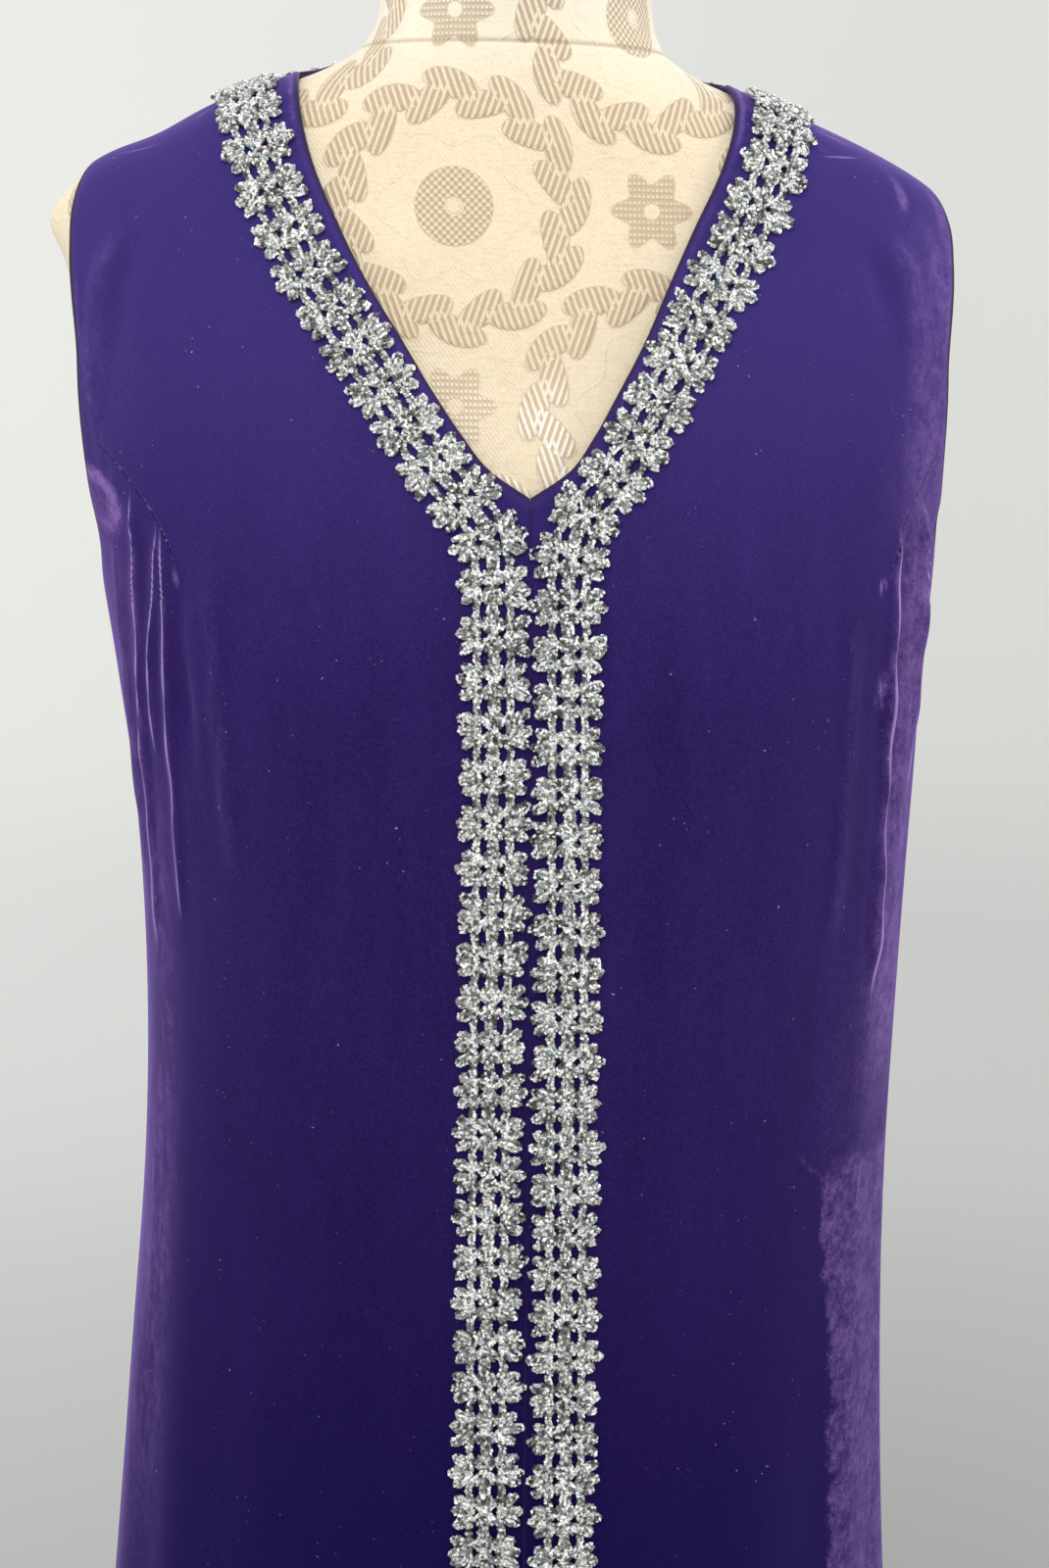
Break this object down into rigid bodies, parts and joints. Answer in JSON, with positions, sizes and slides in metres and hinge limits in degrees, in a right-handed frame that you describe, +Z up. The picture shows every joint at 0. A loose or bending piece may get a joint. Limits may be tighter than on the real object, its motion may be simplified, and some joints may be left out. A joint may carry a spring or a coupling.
{
  "type": "caftan on dress form",
  "caption": "Full-length sleeveless velvet caftan with a V neck edged in silver flower braid, worn by a limbless dress form on a round-based stand.",
  "frame": {"origin": "on the floor, under the centre of the whole object's bounding box", "axes": "+Z up; the caftan's front faces -Y; +X is the wearer's left"},
  "size_m": [0.502, 0.3788, 1.5523],
  "materials": {
    "velvet": "deep violet velvet with a crushed pile",
    "silver_braid": "twisted metallic silver thread",
    "form_cover": "ecru tone-on-tone jacquard",
    "cap_wood": "satin varnish",
    "stand_metal": "dark satin enamel"
  },
  "bodies": {
    "root": {"front_right": "velvet", "front_left": "velvet", "back": "velvet", "braid_right": "silver_braid", "braid_left": "silver_braid", "form_torso": "form_cover", "neck_cap": "cap_wood", "form_collar": "stand_metal", "stand_pole": "stand_metal", "stand_base": "stand_metal"}
  },
  "joints": []
}
